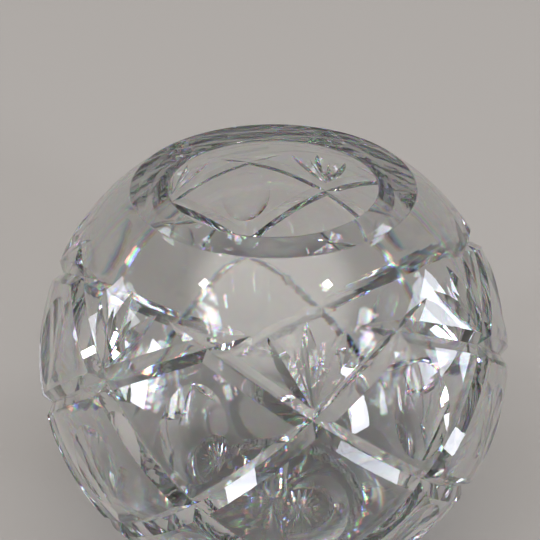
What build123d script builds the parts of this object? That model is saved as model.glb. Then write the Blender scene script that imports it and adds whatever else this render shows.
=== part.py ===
from build123d import *
from math import acos, asin, atan2, cos, degrees, radians, sin, sqrt, tan
import os

# Cut crystal rose bowl: one thick-walled ball of glass, open at a flat rim, tapering to a foot ring,
# and cut all round with crossing mitre grooves, fans of leaf cuts, hollow ovals and a star under it.
#
# Millimetres and degrees. The bowl stands on Z = 0 with its axis on Z. A turn is an angle about that
# axis, 0 at the front (-Y) and growing towards +X. A latitude is an angle up from the widest line.

# Body of the bowl
belly_radius = 100.0
rim_radius = 56.3
wall_thickness = 8.6
floor_thickness = 10.6
rim_outer_edge_radius = 0.9
rim_mouth_edge_radius = 0.7

# Foot ring under the bowl
foot_radius = 50.1
foot_ring_width = 6.4
foot_recess_depth = 1.6
foot_edge_radius = 0.6

# Mitre grooves, in two mirrored families that cross each other
repeats = 7
groove_tilt = 42.4
groove_peak_turn = 65.2
groove_plane_gap = 1.6
groove_depth = 3.25
groove_v_angle = 108.0
groove_tail_lead = 8.6

# Fan of pointed leaf cuts above each upper crossing of the grooves
leaf_wheel_radius = 150.0
leaf_v_angle = 120.0
long_leaf_length = 31.0
short_leaf_length = 23.0
long_leaf_leans = (-27.0, 0.0, 27.0)
short_leaf_leans = (-13.0, 13.0)
leaf_root_overlap = 1.2

# Hollow ovals in the diamonds between the grooves, each ground with a stone bowed along the oval
upper_oval_height = 38.0
upper_oval_width = 25.5
upper_oval_bow_radius = 151.0
belt_oval_height = 37.0
belt_oval_width = 24.5
belt_oval_bow_radius = 2500.0

# Star under the foot, a margin inside the ring
star_cuts = 10
star_margin = 3.0
star_depth = 3.2
star_v_angle = 112.0

# How far every cutter stands proud of the glass that it cuts
overrun = 4.0

pitch = 360.0 / repeats
inner_radius = belly_radius - wall_thickness
rim_rise = sqrt(belly_radius ** 2 - rim_radius ** 2)
mouth_radius = sqrt(inner_radius ** 2 - rim_rise ** 2)
belly_height = floor_thickness + inner_radius
recess_radius = foot_radius - foot_ring_width
star_radius = recess_radius - star_margin


def body_section():
    """Half section of the bowl in XZ: ball outside, smaller ball inside, straight taper to the foot."""
    rim_latitude = degrees(asin(rim_rise / belly_radius))
    mouth_latitude = degrees(asin(rim_rise / inner_radius))

    # The taper leaves the ball without a corner and ends at the edge of the foot.
    foot_reach = sqrt(foot_radius ** 2 + belly_height ** 2)
    taper_latitude = degrees(acos(belly_radius / foot_reach) - atan2(belly_height, foot_radius))

    outside = CenterArc((0, belly_height), belly_radius, taper_latitude, rim_latitude - taper_latitude)
    inside = CenterArc((0, belly_height), inner_radius, -90, mouth_latitude + 90)
    outline = Curve() + [
        Line((0, floor_thickness), (0, 0)),
        Line((0, 0), (foot_radius, 0)),
        Line((foot_radius, 0), outside @ 0),
        outside,
        Line(outside @ 1, inside @ 1),
        inside,
    ]
    section = make_face(outline)
    rounded = [
        (outside @ 1, rim_outer_edge_radius),
        (inside @ 1, rim_mouth_edge_radius),
        (Vector(foot_radius, 0), foot_edge_radius),
    ]
    for place, radius in rounded:
        section = fillet(section.vertices().sort_by_distance(place)[0], radius)
    return Plane.XZ * section


def vee(depth, v_angle):
    """V section of a mitre wheel: the glass face is X = 0, the point of the V lies inside it."""
    half_width = (depth + overrun) * tan(radians(v_angle / 2))
    return make_face(Polyline((-depth, 0), (overrun, half_width), (overrun, -half_width), close=True))


def wheel_cut(section, depth, wheel_radius, reach):
    """The stretch of a grinding wheel that dips into a face at X = 0, its cut running along Z."""
    wheel_axis = Axis((wheel_radius - depth, 0, 0), (0, 1, 0))
    half_arc = degrees(asin(reach / wheel_radius))
    swept = revolve(section, wheel_axis, 2 * half_arc)
    return swept.rotate(wheel_axis, -half_arc)


def on_belly(turn, latitude, lean=0.0, forward=0.0):
    """Place on the ball: X is outward and Z up the ball, leant sideways, then moved on by an angle."""
    facing = Pos(0, 0, belly_height) * Rot(0, 0, turn - 90)
    leant = facing * Rot(0, -latitude, 0) * Rot(lean, 0, 0)
    return leant * Rot(0, -forward, 0) * Pos(belly_radius, 0, 0)


def groove_point(turn_from_peak):
    """Where a groove crosses the meridian a turn away from its highest point, on the ball's face.

    Gives its latitude, and the angle travelled along the groove's own circle.
    """
    turn = radians(turn_from_peak)
    tilt = radians(groove_tilt)
    rise = sin(tilt) * cos(turn)
    steepness = sqrt(cos(tilt) ** 2 + rise ** 2)
    latitude = atan2(rise, cos(tilt)) + asin(groove_plane_gap / (belly_radius * steepness))
    ahead = cos(tilt) * cos(latitude) * cos(turn) + sin(tilt) * sin(latitude)
    aside = cos(latitude) * sin(turn)
    return degrees(latitude), degrees(atan2(aside, ahead))


def groove_cutter():
    """One mitre groove: an arc of even depth, with a straight run out of the glass at either end."""
    circle_radius = sqrt(belly_radius ** 2 - groove_plane_gap ** 2)
    lead_angle = degrees(groove_tail_lead / belly_radius)
    first = groove_point(groove_peak_turn - pitch / 2)[1] + lead_angle
    last = groove_point(groove_peak_turn + pitch * 1.5)[1] - lead_angle
    run_out = sqrt(2 * circle_radius * (groove_depth + overrun))

    section = Plane.XZ * Pos(circle_radius, 0, 0) * vee(groove_depth, groove_v_angle)
    arc = revolve(section, Axis.Z, -(last - first)).rotate(Axis.Z, -first)
    upper_tail = extrude(section, run_out, dir=(0, 1, 0)).rotate(Axis.Z, -first)
    lower_tail = extrude(section, run_out, dir=(0, -1, 0)).rotate(Axis.Z, -last)
    level = arc + upper_tail + lower_tail
    peak = Pos(0, 0, belly_height) * Rot(0, 0, groove_peak_turn - 90)
    return peak * Rot(0, -groove_tilt, 0) * Pos(0, 0, groove_plane_gap) * level


def leaf_cutter(turn, latitude, lean, length):
    """One pointed leaf with its lower tip at a latitude, leaning away from straight up."""
    depth = length ** 2 / 8 * (1 / belly_radius + 1 / leaf_wheel_radius)
    half_angle = degrees(length / 2 / belly_radius)
    wheel = wheel_cut(vee(depth, leaf_v_angle), depth, leaf_wheel_radius, length / 2 + overrun)
    return on_belly(turn, latitude, lean, half_angle) * wheel


def oval_cutter(height, width, bow_radius):
    """Hollow oval: the side of a barrel-shaped stone, round across the oval and bowed along it."""
    depth = height ** 2 / 8 * (1 / belly_radius + 1 / bow_radius)
    across_radius = 1 / (8 * depth / width ** 2 - 1 / belly_radius)
    half_bow = degrees(asin((height / 2 + overrun) / bow_radius))
    bow = CenterArc((bow_radius - depth, 0), bow_radius, 180 - half_bow, 2 * half_bow)
    axle = across_radius - depth
    low_end, high_end = (axle, (bow @ 1).Y), (axle, (bow @ 0).Y)
    outline = Curve() + [bow, Polyline(bow @ 1, low_end, high_end, bow @ 0)]
    half_barrel = Plane.XZ * make_face(outline)
    barrel_axis = Axis((axle, 0, 0), (0, 0, 1))
    half_arc = degrees(asin((width / 2 + overrun) / across_radius))
    return revolve(half_barrel, barrel_axis, 2 * half_arc).rotate(barrel_axis, -half_arc)


def star_cutters():
    """Cuts right across the underside of the foot, each deepest in the middle and pointed at its ends."""
    wheel_radius = star_radius ** 2 / (2 * star_depth)
    cut = wheel_cut(vee(star_depth, star_v_angle), star_depth, wheel_radius, star_radius + overrun)
    underside = Pos(0, 0, foot_recess_depth) * Rot(0, 90, 0) * cut
    return [Rot(0, 0, 180.0 / star_cuts * i) * underside for i in range(star_cuts)]


def side_cutters():
    """The cuts round the ball in layers: the cuts of one layer never touch each other."""
    crossing = groove_point(groove_peak_turn)[0]
    slope = cos(radians(groove_tilt)) / cos(radians(crossing))
    half_width = groove_depth * tan(radians(groove_v_angle / 2))
    corner_rise = half_width / slope - leaf_root_overlap
    fan_latitude = crossing + degrees(corner_rise / belly_radius)

    top = groove_point(groove_peak_turn - pitch / 2)[0]
    middle = groove_point(groove_peak_turn + pitch / 2)[0]
    lower = groove_point(groove_peak_turn + pitch)[0]
    lowest = groove_point(groove_peak_turn + pitch * 1.5)[0]

    groove = groove_cutter()
    upper_oval = oval_cutter(upper_oval_height, upper_oval_width, upper_oval_bow_radius)
    belt_oval = oval_cutter(belt_oval_height, belt_oval_width, belt_oval_bow_radius)
    ovals = [
        on_belly(pitch / 2, (top + middle) / 2) * upper_oval,
        on_belly(0, (crossing + lower) / 2) * belt_oval,
        on_belly(pitch / 2, (middle + lowest) / 2) * upper_oval,
    ]
    leaves = [leaf_cutter(0, fan_latitude, lean, long_leaf_length) for lean in long_leaf_leans]
    leaves += [leaf_cutter(0, fan_latitude, lean, short_leaf_length) for lean in short_leaf_leans]
    firsts = [groove, groove.mirror(Plane.YZ)] + ovals + leaves
    return [[Rot(0, 0, pitch * i) * first for i in range(repeats)] for first in firsts]


def bowl():
    """The whole bowl, one piece of glass: the blank, cut layer by layer."""
    blank = revolve(body_section(), Axis.Z)
    recess = Pos(0, 0, foot_recess_depth - overrun) * extrude(Circle(recess_radius), overrun)
    glass = blank - recess
    for cutter in star_cutters():
        glass = glass.cut(cutter)
    for layer in side_cutters():
        glass = glass.cut(*layer)
    return glass


os.makedirs("parts", exist_ok=True)
glass = bowl()
glass.label = "rose_bowl"
export_step(glass, "parts/rose_bowl.step")
print("bowl height", round(belly_height + rim_rise, 2), "mouth radius", round(mouth_radius, 2))
print("glass volume in cm3", round(glass.volume / 1000, 1))
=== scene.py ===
import math

import bmesh
import bpy
from mathutils import Matrix, Vector


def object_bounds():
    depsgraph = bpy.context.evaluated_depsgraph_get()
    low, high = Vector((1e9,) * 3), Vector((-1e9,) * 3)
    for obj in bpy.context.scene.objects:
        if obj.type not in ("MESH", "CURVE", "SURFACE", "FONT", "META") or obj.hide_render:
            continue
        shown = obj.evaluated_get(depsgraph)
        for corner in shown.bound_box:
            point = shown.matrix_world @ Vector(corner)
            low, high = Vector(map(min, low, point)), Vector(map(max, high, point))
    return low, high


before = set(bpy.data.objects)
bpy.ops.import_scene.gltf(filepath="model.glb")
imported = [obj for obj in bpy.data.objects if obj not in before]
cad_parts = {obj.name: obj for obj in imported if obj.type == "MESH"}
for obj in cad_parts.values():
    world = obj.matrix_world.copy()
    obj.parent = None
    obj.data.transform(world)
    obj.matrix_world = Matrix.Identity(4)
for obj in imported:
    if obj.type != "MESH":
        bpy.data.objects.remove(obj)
cad_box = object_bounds()

bl_info = {
    "name": "Cut Crystal Rose Bowl",
    "version": (1, 0, 0),
    "blender": (4, 5, 0),
    "location": "3D View > Sidebar > Rose Bowl",
    "description": "Dresses a cut crystal rose bowl and builds the studio round it",
    "category": "Object",
}

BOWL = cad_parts["rose_bowl"]
MILLIMETRE = 0.001

# The bowl: depth of its ball's middle under the rim, and the radius of its blown inside
BELLY_BELOW_RIM = 82.65 * MILLIMETRE
BELLY = Vector((0, 0, cad_box[1].z - BELLY_BELOW_RIM))
INNER_RADIUS = 91.4 * MILLIMETRE

# Radii between which the streaks of the inside fade out, so that the outside has none
STREAK_FADE = (INNER_RADIUS + 1.0 * MILLIMETRE, INNER_RADIUS + 1.5 * MILLIMETRE)

# Scale of the streaks' noise along each axis: low across the bowl, which draws them out level
STREAK_STRETCH = (0.06, 0.06, 1.0)

# Only the foot ring's underside is lower than this
GROUND_HEIGHT = 0.2 * MILLIMETRE

# The ground ring's specks, from the noise's low to its high: smooth to rough, and dark grey to white
# frost. The dark grey is painted shade standing for the dark contact shadow seen through clearer specks,
# with a little grey grime in the pits
SPECK_ROUGHNESS = {"From Min": 0.4, "From Max": 0.6, "To Min": 0.08, "To Max": 0.6}
SPECK_FROST_AND_PAINTED_SHADE = {"From Min": 0.42, "From Max": 0.53, "To Min": 0.06, "To Max": 1.0}

# How much of the ground ring's look is frost, the rest being clear glass
FROST_COVER = 0.9

# Red, green and blue bands, which add up to nearly white, and the place of each across the colour spread
FIRE_BANDS = (("#D46767", -0.5), ("#67D467", 0.0), ("#6767D4", 0.5))

# Ray depth at the second face of a path, and how far off it the depth may be
FIRE_DEPTH = 1.0
FIRE_TOLERANCE = 0.5

# Light turns many times inside the cuts before it leaves them, so its path isn't ended early
MOST_BOUNCES = 32

# Softboxes: name, turn from the bowl's front and rise above the belly in degrees, size in metres, watts
LAMPS = (
    ("left_window", -98, 11, (2.5, 3.0), 150, "#EEF1FA"),
    ("right_window", 84, 11, (2.5, 3.0), 200, "#E6ECFA"),
    ("left_strip", -70, 10, (0.75, 3.0), 125, "#F2F4FF"),
    ("right_strip", 29, 10, (0.75, 3.0), 125, "#F2F4FF"),
    ("left_ceiling_lamp", -70, 55, (0.35, 0.35), 15, "#FFFAF4"),
    ("right_ceiling_lamp", 42, 59, (0.35, 0.35), 15, "#FFFAF4"),
)

# Distance of every softbox from the belly, in metres
LAMP_DISTANCE = 6.0

# The ceiling's glow, in degrees: its rise above the horizon, and the angles where it ends and is full
CEILING_RISE = 64
CEILING_SPREAD = (42, 28)

# The backdrop's glow: full up to the first rise above the horizon, in degrees, and gone at the second
BACKDROP_FADE = (10, 38)

# The floor is round, and lies a little under the foot so that the two never meet
FLOOR_SEGMENTS = 96
FLOOR_DROP = 0.3 * MILLIMETRE

# Width of the camera's sensor in millimetres
SENSOR_WIDTH = 36


def linear(hex_colour):
    """Turns an sRGB hex colour into the linear colour that a shader takes."""
    channels = [int(hex_colour[i:i + 2], 16) / 255 for i in (1, 3, 5)]
    bent = [c / 12.92 if c <= 0.04045 else ((c + 0.055) / 1.055) ** 2.4 for c in channels]
    return (*bent, 1.0)


def direction(turn, rise):
    """Unit vector at a turn from the bowl's front and a rise above the level, both in radians."""
    return Vector((math.sin(turn) * math.cos(rise), -math.cos(turn) * math.cos(rise), math.sin(rise)))


def turned(first, second, angle):
    """Two square axes after a turn that takes the first towards the second."""
    return (first * math.cos(angle) + second * math.sin(angle),
            second * math.cos(angle) - first * math.sin(angle))


def add_node(tree, kind, settings=None, links=None):
    """Adds a node, sets its properties and sockets by name or number, and links outputs into it."""
    node = tree.nodes.new(kind)
    for name, value in (settings or {}).items():
        if isinstance(name, str) and hasattr(node, name):
            setattr(node, name, value)
        else:
            node.inputs[name].default_value = value
    for name, output in (links or {}).items():
        tree.links.new(output, node.inputs[name])
    return node


def empty_tree(owner):
    """Gives a new material or world a node tree with nothing in it."""
    owner.use_nodes = True
    owner.node_tree.nodes.clear()
    return owner.node_tree


def show(name, data):
    """Puts an object that shows the data into the scene."""
    thing = bpy.data.objects.new(name, data)
    bpy.context.scene.collection.objects.link(thing)
    return thing


class CrystalSettings(bpy.types.PropertyGroup):
    """How the lead crystal bends, splits and dims the light, and how its skin was worked."""

    colour: bpy.props.StringProperty(
        name="Crystal colour", default="#F7F8F8",
        description="What each face of the crystal passes of white light, as sRGB hex")
    ior: bpy.props.FloatProperty(
        name="Refractive index", default=1.55, min=1.4, max=1.8,
        description="Lead crystal bends light more than window glass, which has 1.52")
    spread: bpy.props.FloatProperty(
        name="Colour spread", default=0.026, min=0.0, max=0.2,
        description="Difference of the index between red and blue light, drawn stronger than real "
                    "because it acts at only one face of each path")
    dimming: bpy.props.FloatProperty(
        name="Dimming", default=11.0, min=0.0,
        description="How strongly the thick glass dims light, per metre")
    dimming_tint: bpy.props.StringProperty(
        name="Dimming tint", default="#B9BCBC",
        description="What the thick glass leaves of white light, as sRGB hex")
    wave_size: bpy.props.FloatProperty(
        name="Wave size", default=0.016, unit="LENGTH",
        description="Distance between the soft waves that blowing and acid polishing leave")
    wave_depth: bpy.props.FloatProperty(
        name="Wave depth", default=0.00003, unit="LENGTH",
        description="Depth of the soft waves")
    streak_gap: bpy.props.FloatProperty(
        name="Streak gap", default=0.0028, unit="LENGTH",
        description="Distance between the level streaks that turning in the mould leaves on the inside")
    streak_depth: bpy.props.FloatProperty(
        name="Streak depth", default=0.00006, unit="LENGTH",
        description="Depth of the level streaks on the inside")
    grit: bpy.props.FloatProperty(
        name="Grit size", default=0.0022, unit="LENGTH",
        description="Size of the specks that grinding leaves under the foot ring, drawn coarser than "
                    "real so that they show")


class StageSettings(bpy.types.PropertyGroup):
    """Floor, backdrop, room, ceiling and camera of the studio."""

    floor_colour: bpy.props.StringProperty(
        name="Floor colour", default="#AAA8A5",
        description="Pale studio floor, as sRGB hex")
    floor_radius: bpy.props.FloatProperty(
        name="Floor radius", default=1.6, unit="LENGTH",
        description="Radius of the round floor, whose outer half fades into the backdrop")
    backdrop_colour: bpy.props.StringProperty(
        name="Backdrop colour", default="#A9A5A1",
        description="Pale backdrop round the floor, as sRGB hex")
    room_colour: bpy.props.StringProperty(
        name="Room colour", default="#1C1D1E",
        description="Dim room above the backdrop, as sRGB hex")
    ceiling_colour: bpy.props.StringProperty(
        name="Ceiling colour", default="#FFF8F2",
        description="Soft light of the ceiling above the camera, as sRGB hex")
    ceiling_level: bpy.props.FloatProperty(
        name="Ceiling level", default=2.25, min=0.0,
        description="Strength of the ceiling's soft light")
    orbit: bpy.props.FloatProperty(
        name="Camera orbit", default=math.radians(-8.64), subtype="ANGLE",
        description="Turn of the camera from the bowl's front")
    elevation: bpy.props.FloatProperty(
        name="Camera elevation", default=math.radians(36.91), subtype="ANGLE",
        description="Height of the camera above the belly, as an angle")
    distance: bpy.props.FloatProperty(
        name="Camera distance", default=0.4473, unit="LENGTH",
        description="From the middle of the ball to the camera")
    aim_up: bpy.props.FloatProperty(
        name="Aim up", default=math.radians(4.567), subtype="ANGLE",
        description="How far the camera looks above the middle of the ball")
    aim_aside: bpy.props.FloatProperty(
        name="Aim aside", default=math.radians(0.2), subtype="ANGLE",
        description="How far the camera looks past the middle of the ball")
    roll: bpy.props.FloatProperty(
        name="Camera roll", default=math.radians(-0.083), subtype="ANGLE",
        description="Tilt of the camera about its own line of sight")
    focal_length: bpy.props.FloatProperty(
        name="Focal length", default=67.91,
        description="In millimetres on a 36 mm wide sensor")


def lead_crystal(settings):
    """Lead crystal, mould blown, mitre cut and acid polished: water clear and mirror smooth.

    The eye gets slow waves in the skin, level streaks on the blown inside, a ground foot ring and coloured
    fire in the cuts.
    """
    material = bpy.data.materials.new("lead_crystal_cut_and_polished")
    tree = empty_tree(material)
    place = add_node(tree, "ShaderNodeTexCoord").outputs["Object"]

    # Slow waves all over, and level streaks on the inside only
    from_middle = add_node(tree, "ShaderNodeVectorMath", {"operation": "SUBTRACT", 1: BELLY}, {0: place})
    reach = add_node(tree, "ShaderNodeVectorMath", {"operation": "LENGTH"}, {0: from_middle.outputs[0]})
    inside = add_node(
        tree, "ShaderNodeMapRange",
        {"From Min": STREAK_FADE[0], "From Max": STREAK_FADE[1], "To Min": 1.0, "To Max": 0.0},
        {"Value": reach.outputs["Value"]})
    level = add_node(
        tree, "ShaderNodeVectorMath", {"operation": "MULTIPLY", 1: STREAK_STRETCH}, {0: place})
    streaks = add_node(
        tree, "ShaderNodeTexNoise",
        {"Scale": 1 / settings.streak_gap, "Detail": 2.0}, {"Vector": level.outputs[0]})
    waves = add_node(
        tree, "ShaderNodeTexNoise",
        {"Scale": 1 / settings.wave_size, "Detail": 1.0}, {"Vector": place})
    wavy = add_node(
        tree, "ShaderNodeBump",
        {"Strength": 1.0, "Distance": settings.wave_depth}, {"Height": waves.outputs["Fac"]})
    skin = add_node(
        tree, "ShaderNodeBump", {"Distance": settings.streak_depth},
        {"Strength": inside.outputs[0], "Height": streaks.outputs["Fac"], "Normal": wavy.outputs[0]})

    # The underside of the foot ring is ground flat and left matt, with worn, smoother specks
    height = add_node(tree, "ShaderNodeSeparateXYZ", None, {0: place})
    ground = add_node(
        tree, "ShaderNodeMath", {"operation": "LESS_THAN", 1: GROUND_HEIGHT}, {0: height.outputs["Z"]})
    specks = add_node(
        tree, "ShaderNodeTexNoise", {"Scale": 1 / settings.grit, "Detail": 3.0}, {"Vector": place})
    matt = add_node(tree, "ShaderNodeMapRange", SPECK_ROUGHNESS, {"Value": specks.outputs["Fac"]})
    roughness = add_node(
        tree, "ShaderNodeMath", {"operation": "MULTIPLY"}, {0: ground.outputs[0], 1: matt.outputs[0]})
    worked = {"Normal": skin.outputs[0], "Roughness": roughness.outputs[0]}

    clear = add_node(
        tree, "ShaderNodeBsdfPrincipled",
        {"Base Color": linear(settings.colour), "Transmission Weight": 1.0, "IOR": settings.ior}, worked)

    # Red, green and blue part at the second face of each path; at all others one index stands for them
    red, green, blue = (
        add_node(
            tree, "ShaderNodeBsdfGlass",
            {"Color": linear(colour), "IOR": settings.ior + share * settings.spread}, worked)
        for colour, share in FIRE_BANDS)
    warm = add_node(tree, "ShaderNodeAddShader", None, {0: red.outputs[0], 1: green.outputs[0]})
    fire = add_node(tree, "ShaderNodeAddShader", None, {0: warm.outputs[0], 1: blue.outputs[0]})
    path = add_node(tree, "ShaderNodeLightPath")
    second = add_node(
        tree, "ShaderNodeMath", {"operation": "COMPARE", 1: FIRE_DEPTH, 2: FIRE_TOLERANCE},
        {0: path.outputs["Ray Depth"]})
    polished = add_node(
        tree, "ShaderNodeMixShader", None,
        {0: second.outputs[0], 1: clear.outputs[0], 2: fire.outputs[0]})

    # The ground ring scatters light: white frost, with dark grey specks of painted shade standing for the
    # contact shadow seen through clearer specks, and a little grey grime
    frost_tone_and_painted_shade = add_node(tree, "ShaderNodeMapRange", SPECK_FROST_AND_PAINTED_SHADE, {"Value": specks.outputs["Fac"]})
    frost_and_painted_shade = add_node(tree, "ShaderNodeBsdfDiffuse", None, {"Color": frost_tone_and_painted_shade.outputs[0]})
    cover = add_node(
        tree, "ShaderNodeMath", {"operation": "MULTIPLY", 1: FROST_COVER}, {0: ground.outputs[0]})
    surface = add_node(
        tree, "ShaderNodeMixShader", None,
        {0: cover.outputs[0], 1: polished.outputs[0], 2: frost_and_painted_shade.outputs[0]})

    depth = add_node(
        tree, "ShaderNodeVolumeAbsorption",
        {"Color": linear(settings.dimming_tint), "Density": settings.dimming})
    add_node(
        tree, "ShaderNodeOutputMaterial", None,
        {"Surface": surface.outputs[0], "Volume": depth.outputs[0]})
    return material


def matt_paper(stage):
    """Matt studio paper: an even pale sheet with no shine, whose outer half fades into the backdrop."""
    material = bpy.data.materials.new("matt_studio_paper")
    tree = empty_tree(material)
    place = add_node(tree, "ShaderNodeTexCoord").outputs["Object"]
    reach = add_node(tree, "ShaderNodeVectorMath", {"operation": "LENGTH"}, {0: place})
    fade = add_node(
        tree, "ShaderNodeMapRange",
        {"interpolation_type": "SMOOTHSTEP", "From Min": stage.floor_radius / 2,
         "From Max": stage.floor_radius},
        {"Value": reach.outputs["Value"]})
    paper = add_node(
        tree, "ShaderNodeBsdfPrincipled",
        {"Base Color": linear(stage.floor_colour), "Roughness": 0.9, "Specular IOR Level": 0.1})
    clear = add_node(tree, "ShaderNodeBsdfTransparent")
    both = add_node(
        tree, "ShaderNodeMixShader", None,
        {0: fade.outputs[0], 1: paper.outputs[0], 2: clear.outputs[0]})
    add_node(tree, "ShaderNodeOutputMaterial", None, {"Surface": both.outputs[0]})
    return material


def studio_floor(stage):
    """Round sheet of paper under the bowl."""
    mesh = bpy.data.meshes.new("studio_floor")
    shape = bmesh.new()
    bmesh.ops.create_circle(shape, cap_ends=True, radius=stage.floor_radius, segments=FLOOR_SEGMENTS)
    shape.to_mesh(mesh)
    shape.free()
    mesh.materials.append(matt_paper(stage))
    floor = show("studio_floor", mesh)
    floor.location.z = -FLOOR_DROP
    return floor


def softbox(name, turn, rise, size, watts, colour):
    """One soft lamp with a rectangular face, turned to the belly of the bowl."""
    lamp = bpy.data.lights.new(name, "AREA")
    lamp.shape = "RECTANGLE"
    lamp.size, lamp.size_y = size
    lamp.energy = watts
    lamp.color = linear(colour)[:3]
    away = direction(math.radians(turn), math.radians(rise))
    holder = show(name, lamp)
    holder.location = BELLY + away * LAMP_DISTANCE
    holder.rotation_euler = (-away).to_track_quat("-Z", "Y").to_euler()


def dim_room(stage):
    """Pale backdrop, a dim room above it and one broad soft glow on the ceiling, above the camera."""
    world = bpy.data.worlds.new("dim_room")
    tree = empty_tree(world)
    look = add_node(tree, "ShaderNodeTexCoord").outputs["Generated"]

    height = add_node(tree, "ShaderNodeSeparateXYZ", None, {0: look})
    low, high = (math.sin(math.radians(angle)) for angle in BACKDROP_FADE)
    fade = add_node(
        tree, "ShaderNodeMapRange",
        {"interpolation_type": "SMOOTHSTEP", "From Min": low, "From Max": high},
        {"Value": height.outputs["Z"]})
    backdrop = add_node(tree, "ShaderNodeBackground", {"Color": linear(stage.backdrop_colour)})
    room = add_node(tree, "ShaderNodeBackground", {"Color": linear(stage.room_colour)})
    walls = add_node(
        tree, "ShaderNodeMixShader", None,
        {0: fade.outputs[0], 1: backdrop.outputs[0], 2: room.outputs[0]})

    heart = direction(stage.orbit, math.radians(CEILING_RISE))
    towards = add_node(tree, "ShaderNodeVectorMath", {"operation": "DOT_PRODUCT", 1: heart}, {0: look})
    end, full = (math.cos(math.radians(angle)) for angle in CEILING_SPREAD)
    glow = add_node(
        tree, "ShaderNodeMapRange",
        {"interpolation_type": "SMOOTHSTEP", "From Min": end, "From Max": full},
        {"Value": towards.outputs["Value"]})
    ceiling = add_node(
        tree, "ShaderNodeBackground",
        {"Color": linear(stage.ceiling_colour), "Strength": stage.ceiling_level})
    both = add_node(
        tree, "ShaderNodeMixShader", None,
        {0: glow.outputs[0], 1: walls.outputs[0], 2: ceiling.outputs[0]})
    add_node(tree, "ShaderNodeOutputWorld", None, {"Surface": both.outputs[0]})
    return world


def camera_on_bowl(stage):
    """Camera on its orbit round the belly, aimed past the middle of the ball and rolled."""
    back = direction(stage.orbit, stage.elevation)
    right = Vector((math.cos(stage.orbit), math.sin(stage.orbit), 0))
    up = back.cross(right)
    place = BELLY + back * stage.distance
    back, right = turned(back, right, stage.aim_aside)
    up, back = turned(up, back, stage.aim_up)
    right, up = turned(right, up, stage.roll)
    lens = bpy.data.cameras.new("camera")
    lens.lens = stage.focal_length
    lens.sensor_width = SENSOR_WIDTH
    camera = show("camera", lens)
    camera.matrix_world = Matrix.Translation(place) @ Matrix((right, up, back)).transposed().to_4x4()
    return camera


class ROSEBOWL_OT_crystal(bpy.types.Operator):
    """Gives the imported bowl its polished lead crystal"""

    bl_idname = "rosebowl.crystal"
    bl_label = "Dress the crystal bowl"

    def execute(self, context):
        BOWL.data.materials[0] = lead_crystal(context.scene.rose_bowl_crystal)
        return {"FINISHED"}


class ROSEBOWL_OT_stage(bpy.types.Operator):
    """Builds the pale floor, the soft lamps, the backdrop and dim room, and the camera"""

    bl_idname = "rosebowl.stage"
    bl_label = "Build the studio"

    def execute(self, context):
        stage = context.scene.rose_bowl_stage
        floor = studio_floor(stage)
        for lamp in LAMPS:
            softbox(*lamp)
        context.scene.world = dim_room(stage)
        context.scene.camera = camera_on_bowl(stage)
        for kind in ("max_bounces", "glossy_bounces", "transmission_bounces"):
            setattr(context.scene.cycles, kind, MOST_BOUNCES)
        context.scene.view_settings.view_transform = "Standard"
        return {"FINISHED"}


class ROSEBOWL_PT_panel(bpy.types.Panel):
    """Lists the sizes and the steps of the rose bowl"""

    bl_idname = "ROSEBOWL_PT_panel"
    bl_label = "Rose Bowl"
    bl_space_type = "VIEW_3D"
    bl_region_type = "UI"
    bl_category = "Rose Bowl"

    def draw(self, context):
        steps = (("rose_bowl_crystal", "rosebowl.crystal"), ("rose_bowl_stage", "rosebowl.stage"))
        for group, operator in steps:
            settings = getattr(context.scene, group)
            for name in type(settings).__annotations__:
                self.layout.prop(settings, name)
            self.layout.operator(operator)


CLASSES = (CrystalSettings, StageSettings, ROSEBOWL_OT_crystal, ROSEBOWL_OT_stage, ROSEBOWL_PT_panel)


def register():
    for each in CLASSES:
        bpy.utils.register_class(each)
    bpy.types.Scene.rose_bowl_crystal = bpy.props.PointerProperty(type=CrystalSettings)
    bpy.types.Scene.rose_bowl_stage = bpy.props.PointerProperty(type=StageSettings)


def unregister():
    del bpy.types.Scene.rose_bowl_crystal
    del bpy.types.Scene.rose_bowl_stage
    for each in reversed(CLASSES):
        bpy.utils.unregister_class(each)


def main():
    """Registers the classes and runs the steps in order."""
    register()
    bpy.ops.rosebowl.crystal()
    bpy.ops.rosebowl.stage()


if __name__ == "__main__":
    main()
